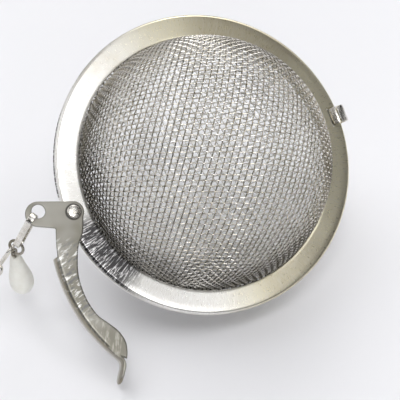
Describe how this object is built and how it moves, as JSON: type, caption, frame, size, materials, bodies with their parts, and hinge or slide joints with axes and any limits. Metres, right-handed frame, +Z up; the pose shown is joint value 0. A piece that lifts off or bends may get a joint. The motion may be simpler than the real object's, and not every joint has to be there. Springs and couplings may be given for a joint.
{
  "type": "tea infuser",
  "caption": "Hinged mesh tea ball: two woven-wire domes in folded steel rims, with a strap hinge, a swinging latch lever, a pendant and a link chain with a cup hook.",
  "frame": {"origin": "centre of the bottom of the box round the whole object, on the table that it lies on", "axes": "+Z up; the shut ball leans about 38 degrees, its mating plane facing -Y and up; +X points from the chain to the hinge side"},
  "size_m": [0.1036, 0.0842, 0.0484],
  "materials": {
    "rim_steel": "satin steel with fine brushing that runs across the rim",
    "mesh_steel": "plain woven stainless wire, drawn into a dome",
    "lever_steel": "tumbled pressed sheet with bright rubbed streaks",
    "bright_steel": "polished steel strip and wire",
    "milky_plastic": "milky, slightly translucent moulding"
  },
  "bodies": {
    "lower_half": {"lower_rim": "rim_steel", "lower_mesh": "mesh_steel", "hinge_strap": "bright_steel"},
    "upper_half": {"upper_rim": "rim_steel", "upper_mesh": "mesh_steel", "latch_rivet": "bright_steel"},
    "latch": {"latch_lever": "lever_steel"},
    "link": {"strap_link": "bright_steel"},
    "ring": {"connector_ring": "bright_steel"},
    "pendant": {"pendant_eye": "bright_steel", "pendant_drop": "milky_plastic"},
    "chain_link_1": {"chain_link_1": "bright_steel"},
    "chain_link_2": {"chain_link_2": "bright_steel"},
    "chain_link_3": {"chain_link_3": "bright_steel"},
    "chain_link_4": {"chain_link_4": "bright_steel"},
    "chain_link_5": {"chain_link_5": "bright_steel"},
    "chain_link_6": {"chain_link_6": "bright_steel"},
    "chain_link_7": {"chain_link_7": "bright_steel"},
    "chain_link_8": {"chain_link_8": "bright_steel"},
    "chain_link_9": {"chain_link_9": "bright_steel"},
    "chain_link_10": {"chain_link_10": "bright_steel"},
    "hook": {"chain_hook": "bright_steel"}
  },
  "joints": [
    {"name": "lid_hinge", "type": "hinge", "parent": "lower_half", "child": "upper_half", "pos_m": [0.04935, 0.02999, 0.02496], "axis": [-0.3609, 0.6993, 0.617], "range_deg": [0, 150]},
    {"name": "latch_pivot", "type": "hinge", "parent": "upper_half", "child": "latch", "pos_m": [-0.00306, 0.00385, 0.02313], "axis": [-0.2534, 0.5632, -0.7865], "range_deg": [-25.5, 52]},
    {"name": "link_swing", "type": "hinge", "parent": "latch", "child": "link", "pos_m": [-0.0103, 0.00011, 0.02516], "axis": [0.799, -0.4719, -0.3726], "range_deg": [-30, 30]},
    {"name": "ring_swing", "type": "hinge", "parent": "link", "child": "ring", "pos_m": [-0.01316, 0.00011, 0.01902], "axis": [0.799, -0.4719, -0.3726], "range_deg": [-40, 40]},
    {"name": "pendant_swing", "type": "hinge", "parent": "ring", "child": "pendant", "pos_m": [-0.01435, 0.00006, 0.01627], "axis": [0.8576, -0.5088, 0.075], "range_deg": [-35, 35]},
    {"name": "chain_joint_1", "type": "hinge", "parent": "ring", "child": "chain_link_1", "pos_m": [-0.01497, 0.00049, 0.01681], "axis": [0.7728, -0.4514, -0.4462], "range_deg": [-20, 20]},
    {"name": "chain_joint_2", "type": "hinge", "parent": "chain_link_1", "child": "chain_link_2", "pos_m": [-0.01798, 0.00049, 0.01159], "axis": [-0.5862, -0.7071, 0.3954], "range_deg": [-25, 25]},
    {"name": "chain_joint_3", "type": "hinge", "parent": "chain_link_2", "child": "chain_link_3", "pos_m": [-0.02133, 0.00049, 0.00662], "axis": [-0.5086, 0.7071, 0.4912], "range_deg": [-25, 25]},
    {"name": "chain_joint_4", "type": "hinge", "parent": "chain_link_3", "child": "chain_link_4", "pos_m": [-0.0255, 0.00049, 0.0023], "axis": [-0.1363, -0.7071, 0.6939], "range_deg": [-25, 25]},
    {"name": "chain_joint_5", "type": "hinge", "parent": "chain_link_4", "child": "chain_link_5", "pos_m": [-0.03139, 0.00049, 0.00115], "axis": [-0.1949, 0.6797, 0.7071], "range_deg": [-25, 25]},
    {"name": "chain_joint_6", "type": "hinge", "parent": "chain_link_5", "child": "chain_link_6", "pos_m": [-0.03716, -0.00117, 0.00115], "axis": [0.3747, -0.5997, 0.7071], "range_deg": [-25, 25]},
    {"name": "chain_joint_7", "type": "hinge", "parent": "chain_link_6", "child": "chain_link_7", "pos_m": [-0.04225, -0.00435, 0.00115], "axis": [-0.5255, 0.4731, 0.7071], "range_deg": [-25, 25]},
    {"name": "chain_joint_8", "type": "hinge", "parent": "chain_link_7", "child": "chain_link_8", "pos_m": [-0.04626, -0.00881, 0.00115], "axis": [0.6355, -0.31, 0.7071], "range_deg": [-25, 25]},
    {"name": "chain_joint_9", "type": "hinge", "parent": "chain_link_8", "child": "chain_link_9", "pos_m": [-0.04889, -0.0142, 0.00115], "axis": [-0.6964, 0.1228, 0.7071], "range_deg": [-25, 25]},
    {"name": "chain_joint_10", "type": "hinge", "parent": "chain_link_9", "child": "chain_link_10", "pos_m": [-0.04993, -0.02011, 0.00115], "axis": [0.7032, 0.0739, 0.7071], "range_deg": [-25, 25]},
    {"name": "hook_joint", "type": "hinge", "parent": "chain_link_10", "child": "hook", "pos_m": [-0.04931, -0.02607, 0.00115], "axis": [-0.0075, -0.0426, 0.9991], "range_deg": [-25, 25]}
  ]
}
